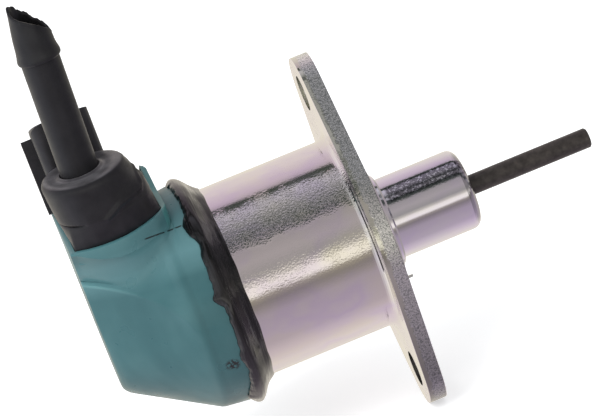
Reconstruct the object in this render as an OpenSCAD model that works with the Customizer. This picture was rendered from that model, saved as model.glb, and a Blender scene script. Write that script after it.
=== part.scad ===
// Fuel shutoff solenoid: a flange-mounted pull solenoid in a drawn steel case,
// with a guide nose and push rod in front and a moulded end cap behind.
// Origin at the centre of the flange's mounting face, +X out along the rod,
// +Z the way the lead sleeve and the connector leave the end cap.

/* [Case and flange] */
// Outside diameter of the drawn case
case_d = 38.1; // [36:0.1:42]
// Wall of the drawn case
case_wall = 2; // [1.4:0.1:2.4]
// Distance from the mounting face to the closed rear of the case
case_len = 35.6; // [34:0.1:44]
// Thickness of the flange
flange_t = 3.4; // [2.5:0.1:5]
// Distance between the centres of the two bolt holes
bolt_spacing = 57.2; // [56:0.1:70]
// Diameter of the bolt holes
bolt_hole_d = 7.1; // [5:0.1:8]
// Distance from a bolt hole's centre to the flange's end
ear_over = 7.2; // [6.5:0.1:9]
// Radius of the flange's ears
ear_r = 9.5; // [8:0.1:11]
// Width of the flange beyond the case at its middle
flange_rim = 2.3; // [2.2:0.05:6]
// Fillet between the case and the flange
flange_fillet = 1.9; // [1:0.1:2.2]
// Angle of the flange's long axis from the way the leads leave
flange_clock = 22; // [0:1:45]

/* [Pilot and nose] */
// Diameter of the pilot boss
pilot_d = 24.8; // [20:0.1:30]
// Height of the pilot boss above the mounting face
pilot_h = 1.4; // [0.6:0.1:3]
// Thickness of the front pole plate behind the mounting face
pole_t = 5.4; // [4.5:0.1:7]
// Outside diameter of the guide nose
nose_d = 16.1; // [15.6:0.1:18]
// Distance from the mounting face to the end of the nose
nose_len = 19.3; // [17:0.1:24]
// Thickness of the nose's end wall
nose_end = 2; // [1.5:0.1:3]
// Rounding of the nose's end
nose_round = 1.9; // [0.5:0.1:1.9]
// Depth of the nose's seat in the front pole plate
nose_seat = 3.5; // [2:0.1:4]
// Width of the staked lock ring around the nose
lock_w = 1.15; // [0.8:0.05:2]
// Height of the lock ring above the pilot boss
lock_h = 1.2; // [0.6:0.1:2]
// Width of the lock ring's bent tab
tab_w = 2.2; // [1.5:0.1:3]
// Length of the tab beyond the ring
tab_len = 2.8; // [1:0.1:3.5]
// Thickness of the tab
tab_t = 0.5; // [0.3:0.1:0.8]

/* [Plunger] */
// Travel of the plunger
stroke = 12; // [6:0.1:12]
// Diameter of the push rod
rod_d = 3.96; // [3:0.02:5]
// Distance from the mounting face to the free end of the rod
rod_tip = 44.8; // [38:0.1:60]
// Length of the rod inside the armature
rod_hold = 10; // [6:0.1:12]
// Diameter of the armature
armature_d = 13.7; // [12:0.1:14]
// Radial running clearance of the armature
armature_play = 0.1; // [0.05:0.01:0.1]
// Radial running clearance of the rod in its bush
rod_play = 0.07; // [0.03:0.01:0.1]
// Wall of the rod's bush
bush_wall = 1.15; // [0.8:0.05:1.5]
// Diameter of the spring pin through armature and rod
pin_d = 1.5; // [1:0.1:2]
// Distance of the spring pin from the armature's front face
pin_in = 4.5; // [3:0.1:6]
// Thickness of the bumper washer in the nose
bumper_t = 1; // [0.5:0.1:1.5]
// Diameter of the spring's pocket
pocket_d = 6.4; // [6:0.1:7]
// Depth of the spring's pocket in the armature
armature_pocket = 7.6; // [5:0.1:8]
// Depth of the spring's pocket in the fixed core
core_pocket = 5; // [4.5:0.1:6]
// Diameter of the return spring's wire
wire_d = 0.8; // [0.5:0.05:0.9]
// Mean diameter of the return spring
spring_d = 5; // [4.4:0.1:5.1]
// Number of coils of the return spring
spring_coils = 10; // [7:1:11]

/* [Coil] */
// Length of the fixed core in front of the case's rear wall
core_len = 11.5; // [9:0.1:12.5]
// Thickness of the stop washer on the core
stop_t = 0.4; // [0.2:0.1:0.8]
// Wall of the brass guide tube
guide_wall = 0.4; // [0.3:0.05:0.5]
// Wall of the bobbin's barrel
bobbin_wall = 0.85; // [0.7:0.05:1.2]
// Thickness of the bobbin's end flanges
bobbin_flange = 1.3; // [1:0.1:2]
// Thickness of the spring washer in front of the bobbin
wave_t = 0.6; // [0.4:0.1:1]
// Share of the winding space that the hold-in winding takes
hold_share = 0.38; // [0.25:0.01:0.5]
// Thickness of the tape over the windings
tape_t = 0.25; // [0.15:0.05:0.3]
// Depth of the bobbin's edge over the tape
wind_inset = 0.5; // [0.3:0.1:1]

/* [End cap] */
// Thickness of the cap's front rim around the case
cap_rim = 3.05; // [2.7:0.05:4]
// Overlap of the cap over the case
cap_overlap = 2.6; // [2:0.1:4]
// Distance from the case's rear to the cap's rear face
cap_depth = 21.3; // [20.5:0.1:25]
// Loss of radius per length of the cap's draft
cap_draft = 0.114; // [0.08:0.002:0.12]
// Length of the cap in front of its tapered tail
cap_skirt = 7.3; // [7:0.1:8]
// Half width of the tail at the rear face
tail_half = 11.4; // [10.5:0.1:13]
// Wall of the end cap
cap_wall = 1.8; // [1.5:0.1:2.2]
// Height of the collar's rim above the barrel
collar_rise = 1.4; // [1:0.1:3]
// Width of the collar along the solenoid's axis
collar_w = 19.8; // [19:0.1:21]
// Half depth of the collar at its corners
collar_half = 14.2; // [14:0.1:16]
// Bow of the collar's two ends
collar_bow = 2.8; // [2:0.1:3.5]
// Wall of the collar
collar_wall = 1; // [0.8:0.1:1.3]
// Depth of the collar's well
well_depth = 3; // [2:0.1:3.4]

/* [Electronics] */
// Gap between the circuit board's edge and the case's outside radius
board_inset = 2.5; // [1.8:0.1:4]
// Thickness of the circuit board
board_t = 1.6; // [1:0.1:2]
// Gap behind the case, filled with potting
potting_t = 3.2; // [2.6:0.1:4]
// Diameter of the coil's leads
coil_lead_d = 1.2; // [0.8:0.1:1.6]
// Diameter of the timing capacitor
can_d = 8; // [6:0.5:9]
// Height of the timing capacitor
can_h = 8; // [5:0.5:9]
// Width of the driver transistor
driver_w = 10; // [8:0.5:11]
// Thickness of the driver transistor
driver_t = 4.5; // [3:0.1:5]
// Length of the driver transistor
driver_len = 8; // [6:0.5:9]

/* [Sealant] */
// Thickness of the sealant bead at its crest
seal_crest = 0.8; // [0.5:0.1:1.5]
// Length of the bead in front of the cap
seal_front = 4; // [2.5:0.1:6]
// Length of the bead over the cap's rim
seal_over = 2.9; // [1.5:0.1:4]

/* [Boot and sleeve] */
// Diameter of the boot's round top
boot_d = 16.6; // [14:0.1:17]
// Height of the boot's shoulder above the collar's rim
boot_h = 12.3; // [8:0.1:14]
// Height of the boot's foot above the collar's rim
foot_h = 3.8; // [2:0.1:5]
// Reach of the boot's sloped side beyond its round top
boot_flare = 1.6; // [1:0.1:3]
// Height of the neck on the boot's shoulder
neck_h = 1.1; // [0.5:0.1:3]
// Width of the neck around the sleeve
neck_w = 1.6; // [0.8:0.1:2.5]
// Distance of the boot's centre from the axis, towards the front of the collar
boot_y = 8.4; // [8:0.1:8.6]
// Outside diameter of the lead sleeve
sleeve_d = 7.4; // [6.5:0.1:8]
// Wall of the lead sleeve
sleeve_wall = 0.6; // [0.4:0.05:1]
// Length of the lead sleeve between the boot's foot and the end sleeve
sleeve_len = 31.6; // [20:0.1:36]
// Wall of the end sleeve
tip_wall = 0.35; // [0.25:0.05:0.6]
// Length of the lead sleeve inside the end sleeve
sleeve_grip = 2.5; // [1:0.1:4]
// Outside diameter of the end sleeve at its cut end
tip_d = 6.7; // [6:0.1:8]
// Length of the end sleeve to the top of its slanted end
tip_len = 11.2; // [8:0.1:14]
// Slope of the slanted end
tip_slope = 42; // [35:1:50]
// Turn of the slanted end's top, away from the rear
tip_turn = 30; // [0:1:60]
// Lean of the sleeve towards the flange
sleeve_lean = 1.8; // [0:0.1:3]

/* [Connector] */
// Width of the connector housing along the solenoid's axis
conn_w = 11.8; // [11:0.1:13]
// Depth of the connector housing
conn_d = 11; // [10:0.1:11.6]
// Height of the housing's front edge above the collar's rim
conn_h = 20.6; // [16:0.1:22]
// Slope of the housing's mouth, down to the side away from the boot
mouth_slope = 26; // [0:1:30]
// Rounding of the housing's rear shoulder
shoulder_r = 2.6; // [1:0.1:4]
// Rounding of the housing's front shoulder
lip_r = 1.2; // [0.5:0.1:3]
// Wall of the housing
conn_wall = 1.4; // [1:0.1:1.8]
// Thickness of the socket's floor
conn_floor_t = 3.4; // [2:0.1:5]
// Width of the side rail
rail_w = 2.1; // [1.5:0.1:2.4]
// Depth of the side rail
rail_d = 4.4; // [3:0.1:7]
// Distance of the rail's top below the housing's front edge
rail_drop = 4; // [3:0.1:6]
// Rounding of the housing's upright corners
conn_r = 2.2; // [1.5:0.1:3]
// Width of a terminal blade
blade_w = 2.8; // [1.5:0.1:3]
// Thickness of a terminal blade
blade_t = 0.8; // [0.5:0.1:1]
// Distance between the two blades
blade_pitch = 4.6; // [4:0.1:5]
// Distance of the blades' tips below the housing's front edge
blade_drop = 11.2; // [9:0.1:14]

/* [Hidden] */
$fn = 96;

fit = 0.05;          // clearance between pieces that are pressed or cast together
seat = 0.1;          // clearance of a loose seat
case_r = case_d / 2;
case_in = case_r - case_wall;
flange_mid_r = case_r + flange_rim;
rear_in = -case_len + case_wall;          // inner face of the case's rear wall
armature_r = armature_d / 2;
guide_in = armature_r + armature_play;
guide_out = guide_in + guide_wall;
nose_r = nose_d / 2;
nose_back = pilot_h - nose_seat;
bumper_x = nose_len - nose_end - bumper_t;
armature_front = bumper_x - 0.3;
core_front = rear_in + core_len;
armature_back = core_front + stop_t + 0.2 + stroke;
pocket_r = pocket_d / 2;
rod_r = rod_d / 2;
rod_back = armature_front - rod_hold;
bush_r = rod_r + rod_play + bush_wall;
pin_x = armature_front - pin_in;
rivet_hole_r = 4;
rivet_head = 1;
bobbin_in = guide_out + fit;
barrel_r = bobbin_in + bobbin_wall;
bobbin_front = -pole_t - wave_t;
bobbin_r = case_in - 0.3;
tape_r = bobbin_r - wind_inset;
pull_r = tape_r - tape_t - fit;
hold_r = barrel_r + fit + hold_share * (pull_r - barrel_r);
coil_lead_r = hold_r - coil_lead_d / 2;
wind_back = rear_in + bobbin_flange;
wind_front = bobbin_front - bobbin_flange;
board_front = -case_len - potting_t;
board_r = case_r - board_inset;

cap_front = -case_len + cap_overlap;
ridge_x = cap_front - cap_skirt;
cap_r = case_r + seat + cap_rim;
cap_back = case_len + cap_depth;
ridge_r = cap_r - cap_skirt * cap_draft;
cap_back_r = cap_r - (cap_back + cap_front) * cap_draft;
collar_x = -cap_back + 0.2 + collar_w / 2;
collar_top = cap_r + collar_rise;
collar_floor = collar_top - well_depth;
rim_h = well_depth + 0.6;
boot_top = collar_top + boot_h;
boot_edge = 0.05 * boot_d;
boot_foot = collar_top + foot_h;
boot_foot_h = boot_foot - collar_floor;
step_z = boot_foot + sleeve_len;
tip_z = step_z + tip_len;
conn_top = collar_top + conn_h;
conn_floor = collar_floor + conn_floor_t;
rail_top = conn_top - rail_drop;
blade_top = conn_top - blade_drop;
blade_foot = collar_floor + 1;
sleeve_r = sleeve_d / 2;
sleeve_in = sleeve_r - sleeve_wall;
lead_end = step_z + sleeve_grip;
tip_r = tip_d / 2;
boot_bore = sleeve_r + fit;
boot_x = collar_x - 0.115 * collar_w;
sleeve_x = boot_x - 0.08 * sleeve_d;
sleeve_foot = boot_foot - 0.5 * boot_foot_h;
conn_x = -cap_back + 1.6 + conn_w / 2;
conn_y0 = boot_d / 2 - boot_y + 0.8;
conn_y = conn_y0 + conn_d / 2;
seal_r = cap_r + seal_crest;

// A body turned about the solenoid's axis, from points of [radius, x]
module turned(points) {
    rotate([0, 90, 0]) rotate_extrude() polygon(points);
}

// A round bar or bore along X
module bar(x0, x1, r) {
    translate([x0, 0, 0]) rotate([0, 90, 0]) cylinder(h = x1 - x0, r = r);
}

module ring(x0, x1, r_in, r_out) {
    turned([[r_in, x0], [r_out, x0], [r_out, x1], [r_in, x1]]);
}

// Points of a quarter arc in the profile plane
function arc(cr, cx, r, a0, a1, n = 8) =
    [for (i = [0:n]) [cr + r * cos(a0 + (a1 - a0) * i / n), cx + r * sin(a0 + (a1 - a0) * i / n)]];

// Outline of the two-eared flange, long axis along local X
module flange_outline() {
    half = bolt_spacing / 2 + ear_over - ear_r;
    lean = asin((flange_mid_r - ear_r) / half);
    touch = [flange_mid_r * sin(lean), flange_mid_r * cos(lean)];
    ear = [half + ear_r * sin(lean), ear_r * cos(lean)];
    circle(r = flange_mid_r);
    for (side = [-1, 1]) translate([side * half, 0]) circle(r = ear_r);
    polygon([[touch[0], touch[1]], [ear[0], ear[1]], [ear[0], -ear[1]], [touch[0], -touch[1]],
             [-touch[0], -touch[1]], [-ear[0], -ear[1]], [-ear[0], ear[1]], [-touch[0], touch[1]]]);
}

// Drawn cup with its flange: one piece of sheet steel
module flanged_case() {
    color("#c3bdca") difference() {
        union() {
            rotate([-flange_clock, 0, 0]) translate([-flange_t, 0, 0]) rotate([0, 90, 0])
                linear_extrude(flange_t) flange_outline();
            turned(concat([[0, -case_len], [case_r - 1, -case_len]],
                          arc(case_r - 1, -case_len + 1, 1, -90, 0, 5),
                          arc(case_r + flange_fillet, -flange_t - flange_fillet, flange_fillet, 180, 90),
                          [[case_r + flange_fillet, -flange_t + 0.5], [0, -flange_t + 0.5]]));
        }
        bar(rear_in, 1, case_in);
        bar(-case_len - 1, rear_in + 1, rivet_hole_r + fit);
        for (side = [-1, 1]) translate([0, side * coil_lead_r, 0])
            bar(-case_len - 1, rear_in + 1, coil_lead_d / 2 + 0.4);
        rotate([-flange_clock, 0, 0]) for (side = [-1, 1]) translate([0, 0, side * bolt_spacing / 2])
            bar(-flange_t - 1, 1, bolt_hole_d / 2);
    }
}

// Pole plate that closes the case's mouth and centres the solenoid
module front_pole_plate() {
    plate_r = case_in - fit;
    pilot_r = pilot_d / 2;
    color("#b9b4bd") turned([
        [guide_out + fit, -pole_t], [plate_r - 0.5, -pole_t], [plate_r, -pole_t + 0.5], [plate_r, 0],
        [pilot_r, 0], [pilot_r, pilot_h - 0.3], [pilot_r - 0.3, pilot_h], [nose_r + fit, pilot_h],
        [nose_r + fit, nose_back], [guide_out + fit, nose_back]]);
}

// Staked ring with one bent tab, which locks the nose in the plate
module lock_ring() {
    inner = nose_r + fit;
    outer = inner + lock_w;
    color("#cfcad2") {
        difference() {
            union() {
                turned([[inner, pilot_h], [outer, pilot_h], [outer, pilot_h + lock_h - 0.35],
                        [outer - 0.35, pilot_h + lock_h], [inner, pilot_h + lock_h]]);
                rotate([180 - flange_clock, 0, 0]) {
                    translate([pilot_h, -tab_w / 2, outer - tab_t]) cube([tab_t, tab_w, tab_len + tab_t]);
                    translate([pilot_h, -tab_w / 2, outer + tab_len - tab_t]) cube([3 * tab_t, tab_w, tab_t]);
                }
            }
            bar(0, pilot_h + lock_h + 1, inner);
        }
    }
}

// Turned guide for the armature, closed in front
module guide_nose() {
    color("#c6c1cc") turned(concat(
        [[guide_in, nose_back], [nose_r, nose_back]],
        arc(nose_r - nose_round, nose_len - nose_round, nose_round, 0, 90),
        [[bush_r + fit, nose_len], [bush_r + fit, nose_len - nose_end],
         [guide_in, nose_len - nose_end]]));
}

module rod_bush() {
    color("#8b6b3a") ring(nose_len - nose_end, nose_len - 0.2, rod_r + rod_play, bush_r);
}

module bumper_washer() {
    color("#26262a") ring(bumper_x, bumper_x + bumper_t, rod_r + 0.4, guide_in - 0.3);
}

// Push rod: plain pin with a small edge break at its free end
module push_rod() {
    color("#332f2f") difference() {
        turned([[0, rod_back], [rod_r, rod_back], [rod_r, rod_tip - 0.3],
                [rod_r - 0.3, rod_tip], [0, rod_tip]]);
        cross_hole();
    }
}

module cross_hole() {
    translate([pin_x, 0, 0]) rotate([90, 0, 0])
        cylinder(h = armature_d + 2, r = pin_d / 2 + fit, center = true);
}

module armature() {
    color("#9a9ca2") difference() {
        turned([[0, armature_back + armature_pocket], [pocket_r, armature_back + armature_pocket],
                [pocket_r, armature_back], [armature_r - 0.4, armature_back],
                [armature_r, armature_back + 0.4], [armature_r, armature_front - 0.4],
                [armature_r - 0.4, armature_front], [rod_r + fit, armature_front],
                [rod_r + fit, rod_back], [0, rod_back]]);
        cross_hole();
    }
}

module spring_pin() {
    color("#55555a") translate([pin_x, 0, 0]) rotate([90, 0, 0])
        cylinder(h = armature_d - 1.2, r = pin_d / 2, center = true);
}

// Open coil swept along a helix, with eight sides to its wire
module return_spring() {
    x0 = core_front - core_pocket + wire_d / 2;
    x1 = armature_back + armature_pocket - wire_d / 2;
    per = 16;
    sides = 8;
    steps = spring_coils * per;
    rings = [for (i = [0:steps]) let (a = 360 * i / per, x = x0 + (x1 - x0) * i / steps)
        [for (k = [0:sides - 1]) let (b = 360 * k / sides, r = spring_d / 2 + wire_d / 2 * cos(b))
            [x + wire_d / 2 * sin(b), r * cos(a), r * sin(a)]]];
    color("#8d8f94") polyhedron(
        points = [for (ring_points = rings) each ring_points],
        faces = concat(
            [for (i = [0:steps - 1], k = [0:sides - 1]) let (k2 = (k + 1) % sides)
                [i * sides + k, (i + 1) * sides + k, (i + 1) * sides + k2, i * sides + k2]],
            [[for (k = [0:sides - 1]) k]],
            [[for (k = [sides - 1:-1:0]) steps * sides + k]]));
}

module stop_washer() {
    color("#c9a24e") ring(core_front, core_front + stop_t, pocket_r + 0.2, armature_r - 0.4);
}

// Fixed core, riveted through the rear wall of the case
module fixed_core() {
    shank = rivet_hole_r;
    color("#9a9ca2") turned([
        [0, -case_len - rivet_head], [shank + 1.4, -case_len - rivet_head],
        [shank + 1.4, -case_len], [shank, -case_len], [shank, rear_in],
        [armature_r, rear_in], [armature_r, core_front], [pocket_r, core_front],
        [pocket_r, core_front - core_pocket], [0, core_front - core_pocket]]);
}

module guide_tube() {
    color("#c9a24e") ring(rear_in, nose_back, guide_in, guide_out);
}

module coil_bobbin() {
    color("#2b2b2e") turned([
        [bobbin_in, rear_in], [bobbin_r, rear_in], [bobbin_r, wind_back], [barrel_r, wind_back],
        [barrel_r, wind_front], [bobbin_r, wind_front], [bobbin_r, bobbin_front],
        [bobbin_in, bobbin_front]]);
}

module spring_washer() {
    color("#8d8f94") ring(bobbin_front, -pole_t, guide_out + 1.2, bobbin_r - 1);
}

module hold_in_winding() {
    color("#a5562a") ring(wind_back, wind_front, barrel_r + fit, hold_r);
}

module pull_in_winding() {
    color("#b5652f") ring(wind_back, wind_front, hold_r + fit, pull_r);
}

module winding_tape() {
    color("#d8c46a") ring(wind_back, wind_front, tape_r - tape_t, tape_r);
}

// The coil's two leads, from its rear flange to the circuit board
module coil_leads() {
    color("#a03028") for (side = [-1, 1]) translate([0, side * coil_lead_r, 0])
        bar(board_front, rear_in, coil_lead_d / 2);
}

module circuit_board() {
    color("#2f6a3c") bar(board_front - board_t, board_front, board_r);
}

module timing_capacitor() {
    color("#30343c") translate([0, 0.7 * can_d, -can_d / 4])
        bar(board_front - board_t - can_h, board_front - board_t, can_d / 2);
}

module driver_transistor() {
    color("#1d1d20") translate([board_front - board_t - driver_t, -1.05 * driver_w, -0.9 * driver_len])
        cube([driver_t, driver_w, driver_len]);
}

// Cast seal between the case and the board
module potting_seal() {
    color("#3a3a3f") difference() {
        bar(board_front, -case_len, case_r - 0.2);
        bar(-case_len - rivet_head - fit, -case_len + 1, rivet_hole_r + 1.45);
        for (side = [-1, 1]) translate([0, side * coil_lead_r, 0])
            bar(board_front - 1, -case_len + 1, coil_lead_d / 2 + fit);
    }
}

// Outline of the collar seen from above, grown or shrunk by g
module collar_plan(g = 0) {
    half_w = collar_w / 2 + g;
    half_d = collar_half + g;
    end_r = (pow(half_w, 2) + pow(collar_bow, 2)) / (2 * collar_bow);
    square([2 * half_w, 2 * half_d], center = true);
    for (side = [-1, 1]) intersection() {
        translate([0, side * (half_d + collar_bow - end_r)]) circle(r = end_r);
        translate([0, side * (half_d + collar_bow)]) square([2 * half_w, 2 * collar_bow + 4], center = true);
    }
}

// Drafted barrel whose tail is cut to a U shape, narrower to the rear
module cap_body(g = 0) {
    intersection() {
        turned([[0, -cap_back + g], [cap_back_r - g, -cap_back + g], [cap_r - g, cap_front], [0, cap_front]]);
        union() {
            turned([[0, -cap_back], [tail_half - g, -cap_back], [ridge_r - g, ridge_x],
                    [cap_r + 1, ridge_x], [cap_r + 1, cap_front + 1], [0, cap_front + 1]]);
            linear_extrude(cap_r + 2) polygon([
                [-cap_back, -tail_half + g], [ridge_x, -ridge_r + g], [ridge_x, ridge_r - g],
                [-cap_back, tail_half - g]]);
        }
    }
}

// Moulded end cap: barrel, tapered tail and the oblong collar for the leads
module end_cap() {
    color("#54868a") difference() {
        union() {
            cap_body();
            translate([collar_x, 0, collar_top - rim_h]) linear_extrude(rim_h) collar_plan();
            hull() {
                translate([collar_x, 0, collar_top - rim_h - 0.2]) linear_extrude(0.2) collar_plan(-0.1);
                translate([collar_x, 0, collar_floor - 7]) linear_extrude(0.2) collar_plan(-3);
            }
        }
        bar(-case_len, cap_front + 1, case_r + seat);
        intersection() {
            cap_body(cap_wall);
            translate([-cap_back, -cap_r, -cap_r])
                cube([cap_back - case_len + 0.01, 2 * cap_r, cap_r + collar_floor - cap_wall]);
        }
        translate([collar_x, 0, collar_floor]) linear_extrude(2 * well_depth) collar_plan(-collar_wall);
    }
}

// Black bead over the joint of case and cap
module sealant_bead() {
    over_r = cap_r - seal_over * cap_draft;
    joint_r = case_r + fit;
    rise = cap_r - joint_r;
    color("#161616") turned([
        [joint_r, cap_front + seal_front], [joint_r + 0.3 * rise, cap_front + 0.77 * seal_front],
        [joint_r + 0.7 * rise, cap_front + 0.25 * seal_front],
        [cap_r + 0.5 * seal_crest, cap_front], [seal_r, cap_front - 0.3 * seal_over],
        [seal_r - 0.05, cap_front - 0.55 * seal_over],
        [over_r + 0.6 * seal_crest, cap_front - 0.9 * seal_over],
        [over_r + fit, cap_front - seal_over], [cap_r + fit, cap_front + fit], [joint_r, cap_front + fit]]);
}

// Sleeve's own line, leaning from its foot
module on_sleeve() {
    translate([sleeve_x, -boot_y, boot_foot]) rotate([0, sleeve_lean, 0]) translate([0, 0, -boot_foot])
        children();
}

// Rubber boot: a foot that fills the collar's front half and a round shoulder
module rubber_boot() {
    color("#232224") difference() {
        union() {
            intersection() {
                translate([collar_x, 0, collar_floor + fit]) linear_extrude(boot_foot - collar_floor - fit)
                    collar_plan(-collar_wall - seat);
                translate([collar_x - collar_w, -2 * collar_half, 0])
                    cube([2 * collar_w, 2 * collar_half + conn_y0 - 2 * seat, boot_top]);
            }
            hull() {
                translate([boot_x, -boot_y, boot_top - boot_edge]) cylinder(h = boot_edge, d1 = boot_d, d2 = boot_d - 2 * boot_edge);
                translate([boot_x, -boot_y, boot_foot]) cylinder(h = boot_edge, d = boot_d - 0.4 * boot_edge);
                translate([boot_x + boot_flare, -boot_y, boot_foot]) cylinder(h = boot_edge, d = boot_d - 0.4 * boot_edge);
            }
            translate([boot_x, -boot_y, collar_top + seat])
                cylinder(h = boot_foot - collar_top, d = boot_d - 4 * boot_edge);
            on_sleeve() translate([0, 0, boot_top - boot_edge])
                cylinder(h = neck_h + boot_edge, r1 = sleeve_r + neck_w, r2 = sleeve_r + 0.3 * neck_w);
        }
        on_sleeve() translate([0, 0, sleeve_foot - fit]) cylinder(h = sleeve_len, r = boot_bore);
    }
}

module lead_sleeve() {
    color("#2a292b") on_sleeve() difference() {
        translate([0, 0, sleeve_foot]) cylinder(h = lead_end - sleeve_foot, r = sleeve_r);
        translate([0, 0, sleeve_foot - 1]) cylinder(h = lead_end - sleeve_foot + 2, r = sleeve_in);
    }
}

// Short end sleeve shrunk over the lead sleeve and cut off at a slant
module end_sleeve() {
    grip = sleeve_r + fit;
    color("#2a292b") on_sleeve() difference() {
        rotate_extrude() polygon([
            [grip, step_z], [grip + tip_wall, step_z], [grip + tip_wall, lead_end],
            [tip_r, tip_z + 1], [tip_r - sleeve_wall, tip_z + 1], [grip, lead_end + 0.2]]);
        rotate([0, 0, -tip_turn]) translate([-tip_r, 0, tip_z]) rotate([0, tip_slope, 0])
            translate([-2 * tip_d, -2 * tip_d, 0]) cube(4 * tip_d);
        translate([tip_r, 0, step_z + 1]) rotate([0, 80, 0]) translate([-2 * tip_d, -2 * tip_d, 0]) cube(4 * tip_d);
    }
}

// Plan of a box with rounded upright corners
module round_plan(w, d, r) {
    square([w - 2 * r, d], center = true);
    square([w, d - 2 * r], center = true);
    for (x = [-1, 1], y = [-1, 1]) translate([x * (w / 2 - r), y * (d / 2 - r)]) circle(r = r, $fn = 32);
}

// Two-way socket that stands in the collar's rear half
module connector_housing() {
    color("#232224") difference() {
        union() {
            intersection() {
                translate([conn_x, conn_y, collar_floor + fit]) linear_extrude(conn_top - collar_floor - fit)
                    round_plan(conn_w, conn_d, conn_r);
                shoulders();
            }
            difference() {
                translate([conn_x - conn_w / 2 - rail_w, conn_y + conn_d / 2 - rail_d - 0.1 * conn_d, collar_top + 1])
                    cube([rail_w + 0.5 * conn_r, rail_d, rail_top - collar_top - 1]);
                slant(conn_y + conn_d / 2 - rail_d - 0.1 * conn_d, rail_top);
            }
        }
        slant(conn_y - conn_d / 2, conn_top);
        translate([conn_x, conn_y, conn_floor]) linear_extrude(conn_top)
            round_plan(conn_w - 2 * conn_wall, conn_d - 2 * conn_wall, conn_r - 1);
        blades(fit);
    }
}

// What the slope of the mouth takes off, from a front edge at y0 and z0
module slant(y0, z0) {
    translate([conn_x - conn_w, y0, z0]) rotate([-mouth_slope, 0, 0]) cube([2 * conn_w, 2 * conn_d, conn_d]);
}

// The housing's outline as seen from the boot's side, with its two rounded shoulders
module shoulders() {
    left = conn_x - conn_w / 2 + shoulder_r;
    right = conn_x + conn_w / 2 - lip_r;
    translate([0, conn_y + conn_d, 0]) rotate([90, 0, 0]) linear_extrude(2 * conn_d) hull() {
        translate([left - shoulder_r, 0]) square([conn_w, collar_top]);
        translate([left, conn_top - shoulder_r]) circle(r = shoulder_r);
        translate([right, conn_top - lip_r]) circle(r = lip_r);
    }
}

module blades(g) {
    for (side = [-1, 1]) translate([conn_x + side * blade_pitch / 2, conn_y, (blade_foot + blade_top) / 2])
        cube([blade_t + 2 * g, blade_w + 2 * g, blade_top - blade_foot + 2 * g], center = true);
}

module terminal_blades() {
    color("#b8a46a") blades(0);
}

flanged_case();
front_pole_plate();
lock_ring();
guide_nose();
rod_bush();
bumper_washer();
push_rod();
armature();
spring_pin();
return_spring();
stop_washer();
fixed_core();
guide_tube();
coil_bobbin();
spring_washer();
hold_in_winding();
pull_in_winding();
winding_tape();
coil_leads();
circuit_board();
timing_capacitor();
driver_transistor();
potting_seal();
end_cap();
sealant_bead();
rubber_boot();
lead_sleeve();
end_sleeve();
connector_housing();
terminal_blades();
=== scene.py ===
# %% [markdown]
# Fuel shutoff solenoid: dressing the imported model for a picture.
#
# The real thing is a small pull solenoid: a zinc-plated steel can with a
# two-bolt flange, a nose that guides a push rod, a teal moulded end cap
# sealed on with black paste, and a rubber boot that lets the leads out.
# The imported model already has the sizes. One way would be to model it all
# again here, but the hard parts are right as they are, so this file only
# gives them finishes, and makes the soft and ragged pieces anew.

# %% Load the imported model
import bpy, bmesh, math
from mathutils import Matrix, Vector, noise


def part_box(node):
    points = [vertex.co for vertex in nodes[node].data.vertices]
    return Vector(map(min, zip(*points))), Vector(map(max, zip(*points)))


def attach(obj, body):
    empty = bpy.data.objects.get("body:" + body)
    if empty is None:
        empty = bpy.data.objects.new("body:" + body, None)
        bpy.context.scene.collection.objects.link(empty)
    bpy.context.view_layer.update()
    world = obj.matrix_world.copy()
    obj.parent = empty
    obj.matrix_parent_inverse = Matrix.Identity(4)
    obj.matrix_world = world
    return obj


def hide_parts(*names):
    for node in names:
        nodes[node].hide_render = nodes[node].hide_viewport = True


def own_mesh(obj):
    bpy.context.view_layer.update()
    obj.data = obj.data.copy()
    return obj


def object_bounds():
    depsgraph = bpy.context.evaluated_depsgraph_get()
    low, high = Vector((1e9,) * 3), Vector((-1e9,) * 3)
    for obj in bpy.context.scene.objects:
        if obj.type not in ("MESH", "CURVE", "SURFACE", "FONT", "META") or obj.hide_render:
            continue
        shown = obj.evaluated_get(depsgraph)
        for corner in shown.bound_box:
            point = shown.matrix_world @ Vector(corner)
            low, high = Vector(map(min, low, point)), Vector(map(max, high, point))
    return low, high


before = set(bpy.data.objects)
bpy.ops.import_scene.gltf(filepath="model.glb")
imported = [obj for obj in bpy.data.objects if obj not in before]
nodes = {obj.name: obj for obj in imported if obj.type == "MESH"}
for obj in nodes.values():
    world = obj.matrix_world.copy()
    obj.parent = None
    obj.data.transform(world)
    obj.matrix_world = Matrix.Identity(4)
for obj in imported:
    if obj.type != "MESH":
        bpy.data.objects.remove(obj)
cad_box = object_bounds()
mm = 0.001
print("nodes", len(nodes))

# %% [markdown]
# The photo was taken from a little above and slightly behind the flange,
# about 0.6 m away with a long lens. A camera could be aimed with a Track To
# constraint, but the picture is also rolled, so the three axes of the
# camera are written into its matrix and nothing is left to aim.

# %% Camera
right = Vector((0.92203, -0.21961, -0.31881))
up = Vector((0.37667, 0.31884, 0.86975))
back = right.cross(up)
camera = bpy.data.objects.new("photo_camera", bpy.data.cameras.new("photo_camera"))
camera.data.sensor_width = 36
camera.data.lens = 186.9
camera.data.clip_start = 0.01
camera.matrix_world = Matrix((right, up, back)).transposed().to_4x4()
camera.matrix_world.translation = Vector((-65.85, -549.02, 233.37)) * mm
bpy.context.scene.collection.objects.link(camera)
bpy.context.scene.camera = camera
bpy.context.scene.view_settings.view_transform = "Standard"
print("camera at", [round(v, 3) for v in camera.matrix_world.translation])

# %% [markdown]
# Every finish below is a small tree of nodes. Each node takes three or four
# lines to make and join in plain code, and the trees would fill the file.
# So a few short helpers make a node, join it, and hand back its output.

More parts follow.
